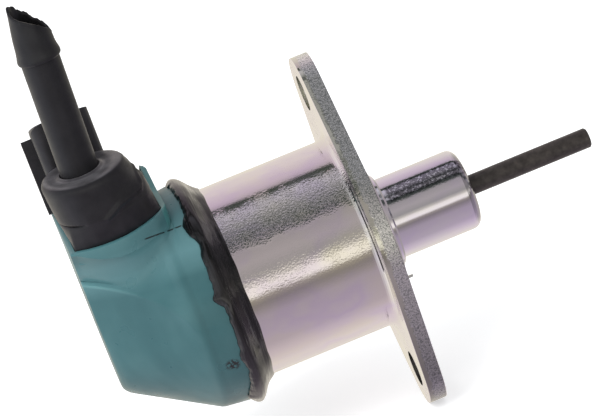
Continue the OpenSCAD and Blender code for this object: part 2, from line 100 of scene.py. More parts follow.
# %% Helpers for node trees
def wire(tree, kind, inputs=None, **settings):
    """A node of that kind; inputs are values, or sockets to link from."""
    node = tree.nodes.new(kind)
    for key, value in settings.items():
        setattr(node, key, value)
    for key, value in (inputs or {}).items():
        if isinstance(value, bpy.types.NodeSocket):
            tree.links.new(value, node.inputs[key])
        else:
            node.inputs[key].default_value = value
    return node


def reckon(tree, operation, *values):
    """One Math node on its values, which are numbers or sockets."""
    return wire(tree, "ShaderNodeMath", dict(enumerate(values)), operation=operation).outputs[0]


def times(tree, first, *others):
    """The product of two or more values."""
    for other in others:
        first = reckon(tree, "MULTIPLY", first, other)
    return first


def away_from(tree, value, centre):
    """How far a value is from a centre, to either side."""
    return reckon(tree, "ABSOLUTE", reckon(tree, "SUBTRACT", value, centre))


def span(tree, value, low, high, lo=0.0, hi=1.0):
    """The value moved from one range to another, held at its ends."""
    ends = {"Value": value, "From Min": low, "From Max": high, "To Min": lo, "To Max": hi}
    return wire(tree, "ShaderNodeMapRange", ends).outputs[0]


def parts(tree, vector):
    """The three parts of a vector."""
    xyz = wire(tree, "ShaderNodeSeparateXYZ", {0: vector})
    return xyz.outputs["X"], xyz.outputs["Y"], xyz.outputs["Z"]


# %% Helpers for colours
def grade(tree, source, *stops):
    """A colour ramp on source; each stop is (place, grey) or (place, (r, g, b))."""
    ramp = wire(tree, "ShaderNodeValToRGB", {"Fac": source})
    band = ramp.color_ramp
    while len(band.elements) < len(stops):
        band.elements.new(0.5)
    for element, (place, tone) in zip(band.elements, stops):
        rgb = tone if isinstance(tone, tuple) else (tone, tone, tone)
        element.position, element.color = place, (*rgb, 1)
    return ramp.outputs["Color"]


def by_angle(tree, place, stops):
    """A ramp whose stops are given in degrees from -180 to 180."""
    return grade(tree, place, *[((at + 180) / 360, tone) for at, tone in stops])


def blend_colours(tree, factor, first, second, how="MIX"):
    """A mix of two colours; each is a socket or plain (r, g, b)."""
    node = wire(tree, "ShaderNodeMix", data_type="RGBA", blend_type=how)
    sockets = (node.inputs[0], node.inputs[6], node.inputs[7])
    for socket, value in zip(sockets, (factor, first, second)):
        if isinstance(value, bpy.types.NodeSocket):
            tree.links.new(value, socket)
        else:
            socket.default_value = (*value, 1) if isinstance(value, tuple) else value
    return node.outputs[2]


def toned(tree, colour, by):
    """The colour multiplied by another."""
    return blend_colours(tree, 1.0, colour, by, "MULTIPLY")


# %% [markdown]
# Bright metal has no colour of its own to speak of: it shows the room. In
# the photo the can carries long stripes, light and dark, because the room
# was a few pale boards with gaps between them. Lamps could make such
# stripes, but they would also burn the paint. So the world gives the metal
# a room of boards round the can's axis, with a darker end in front and a
# paler one behind. It gives the camera plain white, and everything else an
# even light.

# %% Boards round the can, as (degrees, r, g, b)
boards = [
    (-160, 0.86, 0.80, 0.70), (-128, 0.80, 0.71, 0.70), (-104, 0.64, 0.53, 0.60),
    (-97, 0.50, 0.42, 0.47), (-94, 0.05, 0.06, 0.05), (-88, 0.06, 0.07, 0.06),
    (-83, 0.62, 0.58, 0.66), (-70, 0.46, 0.44, 0.47), (-60, 0.05, 0.06, 0.055),
    (-54, 0.50, 0.48, 0.50), (-47, 0.04, 0.05, 0.045), (-37, 0.08, 0.09, 0.08),
    (-32, 0.37, 0.34, 0.34), (-14, 0.44, 0.40, 0.40), (2, 0.36, 0.34, 0.33),
    (9, 0.60, 0.56, 0.50), (14, 0.98, 0.92, 0.84), (22, 1.05, 0.99, 0.93),
    (27, 0.36, 0.32, 0.28), (34, 0.26, 0.23, 0.23), (50, 0.42, 0.36, 0.41),
    (88, 0.50, 0.42, 0.50), (104, 0.64, 0.54, 0.62), (130, 0.82, 0.73, 0.72),
    (160, 0.86, 0.80, 0.70)]
print("boards", len(boards))

# %% World
world = bpy.data.worlds.new("studio")
bpy.context.scene.world = world
world.use_nodes = True
wt = world.node_tree
wt.nodes.clear()
way = wire(wt, "ShaderNodeTexCoord").outputs["Generated"]
toward, below = [
    wire(wt, "ShaderNodeVectorMath", {0: way, 1: axis}, operation="DOT_PRODUCT").outputs["Value"]
    for axis in ((0, -0.927, 0.375), (0, -0.375, -0.927))]
place = span(wt, reckon(wt, "ARCTAN2", below, toward), -math.pi, math.pi)
room = by_angle(wt, place, [(at, (red, green, blue)) for at, red, green, blue in boards])
along = parts(wt, way)[0]
dark_end = span(wt, along, 0.35, 0.6, 0.0, 0.5)
pale_end = span(wt, along, -0.45, -0.9, 0.0, 0.45)
room = blend_colours(wt, dark_end, room, (0.05, 0.05, 0.055))
room = blend_colours(wt, pale_end, room, (1.1, 1.12, 1.15))
rays = wire(wt, "ShaderNodeLightPath")
for_metal = blend_colours(wt, rays.outputs["Is Glossy Ray"], (0.72, 0.735, 0.75), room)
for_lens = blend_colours(wt, rays.outputs["Is Camera Ray"], for_metal, (1, 1, 1))
sky = wire(wt, "ShaderNodeBackground", {"Color": for_lens, "Strength": 1.0})
wt.links.new(sky.outputs[0], wire(wt, "ShaderNodeOutputWorld").inputs["Surface"])
print("world nodes", len(wt.nodes))

# %% [markdown]
# One big soft lamp stands for the window, high on the left. It gives the
# painted and rubber pieces their shape and the floor its shadow. The metal
# doesn't see it, because its light would draw one more stripe on the can.

# %% Window light
light = bpy.data.lights.new("window_light", "AREA")
light.size, light.energy = 0.7, 7.0
window = bpy.data.objects.new("window_light", light)
window.location = (-0.5, -0.35, 0.75)
aim = Vector((-0.02, 0, 0.01)) - Vector((-0.5, -0.35, 0.75))
window.rotation_euler = aim.to_track_quat("-Z", "Y").to_euler()
window.visible_glossy = False
window.visible_camera = False
bpy.context.scene.collection.objects.link(window)
print("light", light.energy, "W")

# %% [markdown]
# The floor is white paper. A paper bright enough to come out pure white
# would throw its light back up at the part. So it gets a plain pale
# colour, and only the camera sees a little glow added, which leaves the
# part's soft shadow on it.

# %% Floor
floor_at = Matrix.Translation((0, 0, cad_box[0][2] - 0.2 * mm))
floor = bpy.data.objects.new("floor", bpy.data.meshes.new("floor"))
bm = bmesh.new()
bmesh.ops.create_grid(bm, x_segments=1, y_segments=1, size=3, matrix=floor_at)
bm.to_mesh(floor.data)
bm.free()
bpy.context.scene.collection.objects.link(floor)
floor.visible_glossy = False
print("floor at", round(cad_box[0][2], 4))

# %% Paper
paper = bpy.data.materials.new("paper")
paper.use_nodes = True
tree = paper.node_tree
tree.nodes.clear()
matt = wire(tree, "ShaderNodeBsdfDiffuse", {"Color": (0.8, 0.8, 0.8, 1)})
seen = wire(tree, "ShaderNodeLightPath").outputs["Is Camera Ray"]
level = times(tree, seen, 0.5)
glow = wire(tree, "ShaderNodeEmission", {"Color": (1, 1, 1, 1), "Strength": level})
both = wire(tree, "ShaderNodeAddShader", {0: matt.outputs[0], 1: glow.outputs[0]})
wire(tree, "ShaderNodeOutputMaterial", {"Surface": both.outputs[0]})
floor.data.materials.append(paper)
print("paper nodes", len(tree.nodes))

# %% [markdown]
# A finish is a Principled shader with some noise in its colour and in its
# surface. Painting a picture of the surface would need an image and a
# layout for it. Noise on the object's own coordinates needs neither, and it
# stays at the same scale on every piece.

# %% Helpers for finishes
finishes = {}


def finish(slot, colour, roughness, metallic=0.0):
    """A new material for a slot of the record: its tree, shader and coordinates."""
    mat = bpy.data.materials.new(slot)
    mat.use_nodes = True
    shader = mat.node_tree.nodes["Principled BSDF"]
    shader.inputs["Base Color"].default_value = (*colour, 1)
    shader.inputs["Roughness"].default_value = roughness
    shader.inputs["Metallic"].default_value = metallic
    finishes[slot] = mat
    spot = wire(mat.node_tree, "ShaderNodeTexCoord").outputs["Object"]
    return mat.node_tree, shader, spot


def clouds(tree, spot, size, detail=3, roughness=0.5, stretch=(1, 1, 1)):
    """Noise with features of about that size in metres."""
    mapped = wire(tree, "ShaderNodeMapping", {"Vector": spot, "Scale": stretch}).outputs[0]
    look = {"Vector": mapped, "Scale": 1 / size, "Detail": detail, "Roughness": roughness}
    return wire(tree, "ShaderNodeTexNoise", look).outputs["Fac"]


def paint(tree, shader, colour):
    tree.links.new(colour, shader.inputs["Base Color"])


def gloss(tree, shader, source, low, high):
    tree.links.new(span(tree, source, 0.3, 0.7, low, high), shader.inputs["Roughness"])


def relief(tree, shader, *layers):
    """Bumps in turn; each layer is (height socket, depth in metres)."""
    normal = None
    for height, depth in layers:
        ins = {"Height": height, "Distance": depth, "Strength": 1.0}
        if normal:
            ins["Normal"] = normal
        normal = wire(tree, "ShaderNodeBump", ins).outputs[0]
    tree.links.new(normal, shader.inputs["Normal"])


# %% [markdown]
# Zinc plate on drawn steel is bright but not even. A passivating film
# gives it faint cream and lilac clouds. Where the draw stretched the sheet
# most, its skin is a fine pebble grain, and between those places it is
# smooth. One even grain would look like paint. So the depth of the grain
# follows the angle round the axis.

# %% Helper for zinc
def turned_about(tree, across, up):
    """Place round the can's axis as 0 to 1."""
    return span(tree, reckon(tree, "ARCTAN2", across, up), math.pi, -math.pi)


def zinc(name, films, roughness, grain_round):
    """Plated steel: its tree, shader, coordinates, coat colour and pebble height."""
    tree, shader, spot = finish(name, (0.8, 0.79, 0.78), roughness, 1.0)
    cream, grey, lilac = films
    film = clouds(tree, spot, 0.011, 3, 0.55, (0.7, 1, 1))
    coat = grade(tree, film, (0.36, cream), (0.46, grey), (0.54, lilac), (0.62, grey))
    along, across, up = parts(tree, spot)
    drift = reckon(tree, "MULTIPLY_ADD", clouds(tree, spot, 0.004, 3), 0.05, -0.025)
    drifted = reckon(tree, "ADD", turned_about(tree, across, up), drift)
    grainy = by_angle(tree, drifted, grain_round)
    pebbles = times(tree, clouds(tree, spot, 0.00034, 1, 0.5), grainy)
    gloss(tree, shader, clouds(tree, spot, 0.007, 2), roughness, roughness + 0.04)
    return tree, shader, spot, coat, pebbles


# %% Zinc on the can, as grain by (degrees, share)
can_grain = [
    (-170, 0.2), (-150, 0.9), (-128, 0.7), (-112, 0.1), (-60, 0.06), (-30, 0.5), (-10, 0.15),
    (16, 0.1), (23, 0.12), (27, 0.9), (44, 1.0), (51, 0.95), (54, 0.06), (60, 0.06), (66, 0.5),
    (74, 0.55), (79, 0.15), (92, 0.04), (128, 0.04), (150, 0.5), (172, 0.2)]
can_films = ((0.84, 0.82, 0.74), (0.82, 0.79, 0.79), (0.79, 0.74, 0.81))
tree, shader, spot, coat, pebbles = zinc("zinc_case", can_films, 0.07, can_grain)
print("zinc nodes", len(tree.nodes))

# %% [markdown]
# The flange was sheared out of the sheet, so its rim is no drawn skin. It
# has a smooth strip at the back, where the punch went in, and a coarse torn
# strip in front. Both lie in the flange's thickness, which is 3.4 mm, and
# the strip's edge wanders a little. Towards the lower ear the rim's colour
# is darker.

# %% Sheared rim of the flange
along, across, up = parts(tree, spot)
wander = reckon(tree, "MULTIPLY_ADD", clouds(tree, spot, 0.0011, 3, 0.6), 0.0016, along)
behind_face = span(tree, along, -0.00002, -0.00012)
sheared = times(tree, span(tree, wander, -0.0019, -0.0015), behind_face)
rim_skin = times(tree, span(tree, along, -0.00338, -0.0033), behind_face)
torn = clouds(tree, spot, 0.0003, 3, 0.7)
torn_coat = grade(
    tree, torn, (0.36, (0.34, 0.37, 0.36)), (0.5, (0.78, 0.81, 0.79)), (0.6, (0.97, 0.98, 0.97)))
rim_coat = blend_colours(tree, sheared, (0.72, 0.73, 0.64), torn_coat)
# The rim's colour is made darker towards the lower ear.
rim_darker_low = toned(tree, rim_coat, (0.45, 0.45, 0.47))
rim_coat = blend_colours(tree, span(tree, up, 0.006, -0.024), rim_coat, rim_darker_low)
paint(tree, shader, blend_colours(tree, rim_skin, coat, rim_coat))
relief(tree, shader, (clouds(tree, spot, 0.007, 2), 0.00004), (pebbles, 0.00008),
       (times(tree, torn, sheared), 0.00009))
print("zinc nodes with the rim", len(tree.nodes))

# %% [markdown]
# The nose, ring and plate are turned parts. Their plate is smoother and
# bluer than the can's. Along the nose runs a painted dark reflection: a band
# of dark colour, mottled with fine pale specks.

# %% Zinc on the nose, ring and plate
nose_grain = [
    (-170, 0.2), (-140, 0.8), (-110, 0.1), (-60, 0.1), (0, 0.2), (18, 0.15), (24, 0.9), (46, 1.0),
    (52, 0.2), (62, 0.1), (90, 0.1), (150, 0.4), (172, 0.2)]
nose_films = ((0.80, 0.82, 0.82), (0.80, 0.79, 0.84), (0.78, 0.75, 0.86))
tree, shader, spot, coat, pebbles = zinc("zinc_trim", nose_films, 0.055, nose_grain)
along, across, up = parts(tree, spot)
# Painted dark reflection: a dark band with pale specks along the nose.
painted_dark_reflection = by_angle(
    tree, turned_about(tree, across, up), [(21, 0.0), (24, 1.0), (45, 1.0), (49, 0.0)])
specks = span(tree, clouds(tree, spot, 0.0005, 3, 0.65), 0.6, 0.5, 0.15, 0.8)
painted_dark_reflection = times(tree, painted_dark_reflection, specks, span(tree, along, 0.0032, 0.0036))
paint(tree, shader, blend_colours(tree, painted_dark_reflection, coat, (0.1, 0.09, 0.11)))
relief(tree, shader, (clouds(tree, spot, 0.007, 2), 0.00002), (pebbles, 0.00002))
print("nose nodes", len(tree.nodes))

# %% [markdown]
# The metals inside are seldom seen, so they share one recipe: two close
# tones and a little grain. The rod is blackened steel. Its oxide is matt,
# so it is made as a dark coat and not as a metal.

# %% Plain metals and the black rod
def plain_metal(slot, dark, light, roughness):
    tree, shader, spot = finish(slot, light, roughness, 1.0)
    paint(tree, shader, grade(tree, clouds(tree, spot, 0.002), (0.35, dark), (0.65, light)))
    relief(tree, shader, (clouds(tree, spot, 0.0003), 0.00001))


plain_metal("plain_steel", (0.45, 0.45, 0.46), (0.58, 0.58, 0.58), 0.32)
plain_metal("spring_steel", (0.42, 0.42, 0.44), (0.6, 0.6, 0.6), 0.28)
plain_metal("bronze", (0.42, 0.27, 0.13), (0.55, 0.36, 0.18), 0.38)
plain_metal("brass", (0.62, 0.48, 0.2), (0.78, 0.62, 0.3), 0.3)
plain_metal("copper_wire", (0.5, 0.2, 0.09), (0.66, 0.3, 0.14), 0.3)

tree, shader, spot = finish("black_rod", (0.03, 0.026, 0.024), 0.42)
oxide = clouds(tree, spot, 0.0012, 4, 0.6)
paint(tree, shader, grade(tree, oxide, (0.35, (0.020, 0.016, 0.014)),
                          (0.62, (0.040, 0.033, 0.029)), (0.78, (0.060, 0.047, 0.039))))
relief(tree, shader, (clouds(tree, spot, 0.0004, 4, 0.6), 0.00002))
print("finishes so far", len(finishes))

# %% [markdown]
# The cap is a moulding in filled plastic with a soft shine. Its skin is
# nearly even, with faint long flow marks from the gate. Stronger clouds
# would look like stone, so the tones stay close together. Painted shade
# darkens it between the ridge and the sealant, painted light makes it paler
# under the collar, and a painted highlight brightens the collar's thin front wall.

# %% Teal cap: tones
tree, shader, spot = finish("teal_cap", (0.075, 0.2, 0.21), 0.3)
along, across, up = parts(tree, spot)
flow = clouds(tree, spot, 0.009, 3, 0.55, (0.6, 1.6, 0.5))
teal = grade(tree, flow, (0.3, (0.036, 0.117, 0.131)), (0.5, (0.045, 0.135, 0.149)),
             (0.7, (0.062, 0.162, 0.176)))
gloss(tree, shader, clouds(tree, spot, 0.004, 3), 0.26, 0.4)
# Painted shade: the colour is darker between the ridge and the sealant.
painted_shade_by_sealant = span(tree, along, -0.0415, -0.039, 0.0, 0.7)
teal = blend_colours(tree, painted_shade_by_sealant, teal, toned(tree, teal, (0.68, 0.74, 0.74)))
# Painted light: a paler teal under the collar's lip, where its shade would fall.
painted_light_under_lip = times(
    tree, span(tree, up, 0.012, 0.0158), span(tree, up, 0.0215, 0.019, 0.3, 1.0), 0.75)
teal = blend_colours(tree, painted_light_under_lip, teal, (0.11, 0.245, 0.265))
# Painted highlight: a brighter teal on the collar's thin front wall.
painted_front_highlight = times(
    tree, span(tree, along, -0.03805, -0.03795), span(tree, along, -0.0368, -0.037),
    span(tree, up, 0.0188, 0.0205), 0.7)
teal = blend_colours(tree, painted_front_highlight, teal, (0.065, 0.225, 0.222))
print("teal nodes", len(tree.nodes))

# %% [markdown]
# Three marks lie on that skin: a painted highlight along the edge of the
# tail, a dark scuff near the sealant, and the broken black line where
# the mould's halves met. Each is a mask on coordinates, which is 1 on its
# line and falls to 0 beside it.

# %% Teal cap: painted edge highlight and scuff
beside = reckon(tree, "MULTIPLY_ADD", along, -0.6, reckon(tree, "ABSOLUTE", across))
flat = wire(tree, "ShaderNodeCombineXYZ", {0: across, 1: up}).outputs[0]
from_axis = wire(tree, "ShaderNodeVectorMath", {0: flat}, operation="LENGTH").outputs["Value"]
proud = reckon(tree, "MULTIPLY_ADD", along, -0.114, from_axis)
# Painted highlight: a paler teal along the tail's edge.
painted_edge_highlight = times(
    tree, span(tree, away_from(tree, beside, 0.04554), 0.00028, 0.00008),
    span(tree, proud, 0.02556, 0.02586), span(tree, proud, 0.0262, 0.0261),
    span(tree, along, -0.055, -0.047, 0.45, 0.0))
teal = blend_colours(tree, painted_edge_highlight, teal, (0.17, 0.36, 0.37))
scuff_at = (-0.0365, -0.0208, -0.0066)
from_scuff = wire(tree, "ShaderNodeVectorMath", {0: spot, 1: scuff_at}, operation="DISTANCE")
scuffed = times(tree, span(tree, from_scuff.outputs["Value"], 0.0016, 0.001),
                span(tree, clouds(tree, spot, 0.0005, 3, 0.6), 0.42, 0.5))
teal = blend_colours(tree, scuffed, teal, (0.012, 0.013, 0.014))
print("teal nodes with the scuff", len(tree.nodes))

# %% Teal cap: parting line and relief
slope = reckon(tree, "MULTIPLY_ADD", across, 0.4468, up)
parting = times(
    tree, span(tree, away_from(tree, slope, 0.0144), 0.00020, 0.00008),
    span(tree, along, -0.0433, -0.0428), span(tree, along, -0.0355, -0.0358),
    span(tree, across, -0.007, -0.008), span(tree, clouds(tree, spot, 0.0011, 1), 0.36, 0.42))
paint(tree, shader, blend_colours(tree, parting, teal, (0.008, 0.012, 0.012)))
ridge_look = {"Value": away_from(tree, along, -0.0398), "From Min": 0.0016, "From Max": 0.0}
ridge = wire(tree, "ShaderNodeMapRange", ridge_look, interpolation_type="SMOOTHSTEP").outputs[0]
relief(tree, shader, (clouds(tree, spot, 0.008, 2), 0.00012),
       (clouds(tree, spot, 0.0004, 3, 0.6), 0.000006), (ridge, 0.00018))
print("teal nodes in all", len(tree.nodes))

# %% [markdown]
# The black pieces are rubber and plastic. Black things show their shape by
# their sheen, so the colour hardly changes and the roughness does the work.
# On the boot a painted sheen makes the rubber paler grey wherever it faces
# up. The other finishes of this recipe are for the pieces inside.

# %% Black plastics and rubbers
def black_stuff(slot, dark, light, low, high, depth=0.00003, painted_top_sheen=False):
    """Two dark tones, a sheen between low and high, and small lumps of that depth."""
    tree, shader, spot = finish(slot, dark, low)
    shader.inputs["Specular Tint"].default_value = (0.86, 0.92, 1.0, 1)
    tone = grade(tree, clouds(tree, spot, 0.0025, 5, 0.6), (0.3, dark), (0.7, light))
    gloss(tree, shader, clouds(tree, spot, 0.002, 3), low, high)
    relief(tree, shader, (clouds(tree, spot, 0.005, 2), depth * 3),
           (clouds(tree, spot, 0.0003, 4, 0.6), depth))
    if painted_top_sheen:
        # Painted sheen: the colour is made paler grey where the rubber faces up.
        facing_up = parts(tree, wire(tree, "ShaderNodeNewGeometry").outputs["Normal"])[2]
        painted_sheen = times(tree, span(tree, facing_up, 0.8, 0.98),
                     span(tree, clouds(tree, spot, 0.003, 3), 0.3, 0.6, 0.4, 1.0))
        tone = blend_colours(tree, painted_sheen, tone, (0.085, 0.082, 0.088))
    paint(tree, shader, tone)


black_stuff("rubber", (0.0085, 0.0075, 0.0085), (0.015, 0.0135, 0.015), 0.3, 0.42, 0.000012, True)
black_stuff("sleeve", (0.0085, 0.008, 0.0085), (0.014, 0.013, 0.014), 0.3, 0.42, 0.00001)
black_stuff("black_moulding", (0.020, 0.019, 0.020), (0.030, 0.028, 0.030), 0.3, 0.4, 0.00001)
black_stuff("tape", (0.3, 0.2, 0.05), (0.4, 0.28, 0.08), 0.4, 0.5)
black_stuff("red_insulation", (0.35, 0.02, 0.015), (0.45, 0.035, 0.025), 0.35, 0.45)
black_stuff("board", (0.02, 0.1, 0.04), (0.03, 0.14, 0.06), 0.35, 0.45)
black_stuff("potting", (0.012, 0.012, 0.013), (0.02, 0.02, 0.022), 0.2, 0.3)
print("finishes so far", len(finishes))

# %% [markdown]
# The sealant was laid on by turning the part, so its marks run round it.
# Noise on plain coordinates would give blobs. Here the place is first
# turned into (along, around) about the can's axis, and the noise is drawn
# out along the second of these. A thin clear coat gives the paste its wet
# shine.

# %% Sealant
tree, shader, spot = finish("sealant", (0.007, 0.006, 0.006), 0.16)
shader.inputs["Specular IOR Level"].default_value = 0.5
shader.inputs["Coat Weight"].default_value = 0.35
shader.inputs["Coat Roughness"].default_value = 0.1
shader.inputs["Coat IOR"].default_value = 1.6
shader.inputs["Specular Tint"].default_value = (0.9, 0.93, 1.0, 1)
along, across, up = parts(tree, spot)
around = times(tree, reckon(tree, "ARCTAN2", across, up), 0.0022)
drawn = wire(tree, "ShaderNodeCombineXYZ", {0: along, 1: around}).outputs[0]
paste = clouds(tree, drawn, 0.0006, 4, 0.6)
paint(tree, shader, grade(tree, paste, (0.3, (0.002, 0.0018, 0.0018)), (0.7, (0.006, 0.005, 0.005))))
gloss(tree, shader, clouds(tree, drawn, 0.0008, 3), 0.08, 0.24)
relief(tree, shader, (clouds(tree, drawn, 0.0014, 2), 0.0005),
       (clouds(tree, drawn, 0.0004, 2), 0.0001))
print("sealant nodes", len(tree.nodes))

# %% [markdown]
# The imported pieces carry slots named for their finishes, so each slot can
# look up its own. Only the nose shares a slot with the can and still needs
# the turned parts' zinc.

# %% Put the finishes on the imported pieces
for piece in nodes.values():
    for holder in piece.material_slots:
        holder.material = finishes[holder.name]
nodes["guide_nose"].material_slots[0].material = finishes["zinc_trim"]
print("finishes", len(finishes))

# %% [markdown]
# Five pieces are made anew. They all end in the same way: the mesh is
# cleaned and smoothed, gets its finish and the body it rides on, and the
# imported piece it stands for is hidden. Three of them are built of rings
# of points, which are joined face by face. The other two are spun.

# %% Helpers for new pieces
def shaped(name, bm, body, slot, *stands_for):
    """The bmesh as a finished object that rides on a body, with the CAD nodes it stands for hidden.
    """
    bmesh.ops.remove_doubles(bm, verts=bm.verts, dist=1e-7)
    bmesh.ops.recalc_face_normals(bm, faces=bm.faces)
    mesh = bpy.data.meshes.new(name)
    bm.to_mesh(mesh)
    bm.free()
    for face in mesh.polygons:
        face.use_smooth = True
    obj = bpy.data.objects.new(name, mesh)
    bpy.context.scene.collection.objects.link(obj)
    mesh.materials.append(finishes[slot])
    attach(obj, body)
    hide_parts(*stands_for)
    print(name, "faces", len(mesh.polygons))
    return obj


def ring_edges(bm, line):
    """Edges that close a line of points into a ring."""
    return [bm.edges.new(pair) for pair in zip(line, line[1:] + line[:1])]


def join(bm, first, second):
    """Faces between two rings of points."""
    for k in range(len(first)):
        n = (k + 1) % len(first)
        bm.faces.new((first[k], first[n], second[n], second[k]))


def held(value, low=0.0, high=1.0):
    """The value, held between two ends."""
    return min(max(value, low), high)


def between(pairs, at):
    """The value at a place, straight between the given pairs."""
    for (x0, v0), (x1, v1) in zip(pairs, pairs[1:]):
        if at <= x1:
            return v0 + (v1 - v0) * max(0.0, at - x0) / (x1 - x0)
    return pairs[-1][1]


# %% [markdown]
# The end cap is a drafted barrel with its tail cut to a U shape, under an
# oblong collar. In the photo the collar is a lip of even height that runs
# down into the barrel at its front corner, and all edges are a little
# soft. Booleans would leave hard seams there. So the cap is lofted: one
# outline of points for every place along the axis, always with the same
# number of points, so that neighbouring outlines can be bridged.

# %% Measures of the cap, in millimetres
rim_z, floor_z = 23.6, 20.6
cap_front, collar_front = -33.0, -36.95
barrel_r, draft = 22.2, 0.114
tail_line = [(-56.9, 11.4), (-40.3, 21.37), (cap_front, barrel_r)]
lip_line = [
    (-56.9, 22.9), (-55.9, 22.8), (-54.2, 22.0), (-51.9, 21.1), (-48.7, 20.3), (-45.2, 20.1),
    (-43.0, 20.2), (-40.0, 20.1), (-38.5, 19.7), (-36.9, 19.4)]
collar_plan = [
    (-56.9, 14.2), (-55.5, 14.9), (-53.5, 16.0), (-51.0, 16.8), (-48.5, 17.0), (-46.0, 16.7),
    (-43.5, 15.7), (-41.5, 14.4), (-39.8, 13.0), (-38.6, 11.7), (-37.8, 10.5), (-37.3, 9.5),
    (collar_front, 8.4)]


def barrel_at(x):
    """Radius of the drafted barrel."""
    return barrel_r - draft * max(0.0, cap_front - x)


def tail_at(x):
    """Half the width of the tail."""
    return between(tail_line, x)


def tail_edge(x):
    """Angle from the top where the tail's side leaves the barrel."""
    return math.asin(min(tail_at(x) / barrel_at(x), 1.0))


def skin(x, angle, inward=0.0):
    """Distance of the surface from the axis, at an angle from the top."""
    out, side = barrel_at(x) - inward, tail_at(x) - inward
    if angle >= math.pi / 2:
        return min(out, side)
    reach = min(out, side / max(math.sin(angle), 1e-6))
    if inward:
        reach = min(reach, (floor_z - inward) / max(math.cos(angle), 1e-6))
    return reach


print("barrel at the rear", round(barrel_at(-56.9), 2), "tail", tail_at(-56.9))

# %% [markdown]
# The lip stands out over the barrel, so under it the outline turns back
# inwards. From the lip's foot a line is walked down and in by small steps
# until it meets the barrel. Between foot and barrel the outline follows a
# curve that bends at the meeting point.

# %% Outlines of the cap
foot_lean, foot_step, deepest = 0.42, 0.05, 8


def polar(r, angle):
    return (r * math.sin(angle), r * math.cos(angle))


def neck(x):
    """Under the lip: its foot, the knee where it meets the body, the angle where it lands."""
    across = between(collar_plan, x) - 0.25
    on_barrel = math.sqrt(max((barrel_at(x) + 0.06) ** 2 - across ** 2, 0))
    foot = (across, max(between(lip_line, x), on_barrel))
    knee, down = foot, 0.0
    while down < deepest and math.hypot(*knee) >= skin(x, math.atan2(*knee)):
        down += foot_step
        knee = (foot[0] - foot_lean * down, foot[1] - down)
    return foot, knee, min(math.atan2(*knee) + 0.17, tail_edge(x) - 0.06)


def collar_half(x, well, foot, knee, land):
    """Half the collar, from its middle out and down to the barrel."""
    half = between(collar_plan, x)
    inner = half - 1.0
    points = [(inner * k / 6, floor_z if well else rim_z) for k in range(7)]
    points += [(inner, rim_z - 0.15 if well else rim_z), (inner + 0.15, rim_z),
               (half - 0.3, rim_z), (half - 0.09, rim_z - 0.08), (half, rim_z - 0.3),
               (half, foot[1] + 0.2), foot]
    for t in (0.4, 0.75):
        points.append(tuple(
            (1 - t) ** 2 * foot[i] + 2 * t * (1 - t) * knee[i] + t * t * land[i] for i in (0, 1)))
    return points


def outline(x, collar, well):
    """Half an outline, from the top to the bottom, as (across, up)."""
    out = barrel_at(x)
    foot, knee, start = neck(min(x, collar_front))
    if collar:
        top = collar_half(x, well, foot, knee, polar(out, start))
    else:
        top = [polar(out, start * k / 16) for k in range(16)]
    edge = min(tail_edge(x), math.radians(84))
    angles = [start + (edge - 0.025 - start) * k / 6 for k in range(7)] + [edge, edge + 0.025]
    angles += [edge + 0.025 + (math.pi / 2 - edge - 0.025) * k / 5 for k in range(1, 6)]
    angles += [math.pi / 2 * (1 + k / 12) for k in range(1, 13)]
    return top + [polar(skin(x, t), t) for t in angles]


print("outline points", len(outline(-50, True, True)), len(outline(-35, False, False)))

# %% [markdown]
# At the rear the outlines shrink a little, one after the other, which
# rounds the tail's edge. They shrink most at the bottom and hardly at the
# collar. Inside, plainer rings make the wall, 1.8 mm thick.

# %% Rings of the cap
def ring_of(bm, x, half, shrink=1.0):
    """A closed ring at x from half an outline: its points and its edges."""
    line = []
    for across, up in [(-across, up) for across, up in half] + half[-2:0:-1]:
        scale = 1 - (1 - shrink) * held((6 - up) / 8, 0.12)
        line.append(bm.verts.new((x * mm, across * scale * mm, up * scale * mm)))
    return line, ring_edges(bm, line)


bm = bmesh.new()
stations = [
    (-56.9, True, False, 0.9), (-56.82, True, False, 0.935), (-56.6, True, False, 0.962),
    (-56.3, True, False, 0.98), (-55.9, True, False, 0.993), (-55.88, True, True, 0.994)]
stations += [(x, True, True, 1) for x in (
    -55.2, -54.3, -53.2, -52, -50.8, -49.6, -48.4, -47.2, -46, -44.8, -43.6, -42.5, -41.5, -40.6,
    -39.8, -39.1, -38.5, -37.92)]
stations += [(x, True, False, 1) for x in (-37.9, -37.6, -37.3, -37.1, collar_front)]
stations += [(x, False, False, 1) for x in (
    -36.92, -36.5, -36, -35.3, -34.5, -33.6, -33.25, -33.08)]
rings = [ring_of(bm, x, outline(x, collar, well), shrink) for x, collar, well, shrink in stations]
rear_edges = rings[0][1]
bend = math.radians(26.5)
angles = [bend * k / 16 for k in range(16)] + [bend + (math.pi - bend) * k / 26 for k in range(27)]
for x, r in ((cap_front, 22.0), (cap_front, 19.15), (-35.6, 19.15)):
    rings.append(ring_of(bm, x, [polar(r, t) for t in angles]))
for x in (-35.62, -40.3, -45, -50, -55.1):
    rings.append(ring_of(bm, x, [polar(skin(x, t, 1.8), t) for t in angles]))
print("rings", len(rings))

# %% End cap
lines = [line for line, edges in rings]
for first, second in zip(lines, lines[1:]):
    join(bm, first, second)
bm.faces.new(lines[-1])
bmesh.ops.triangle_fill(bm, edges=rear_edges, use_beauty=True)
fin_height = 2.0
for v in bm.verts:
    x, y, z = (c / mm for c in v.co)
    if -37.95 < x < -36.93 and z > 23.4 and y > 0:
        v.co.z += fin_height * held((y - 0.5) / 8.5) * mm
cap = shaped("cap_moulding", bm, "body", "teal_cap", "end_cap")
cap.data.set_sharp_from_angle(angle=math.radians(38))

# %% [markdown]
# The boot is soft rubber: a foot that fills the collar, a round shoulder
# with a slit under it, a strap down its right side, and a small lip round
# the sleeve. It has no straight edge anywhere. So every height gets a ring
# of points, and each point finds its own reach.

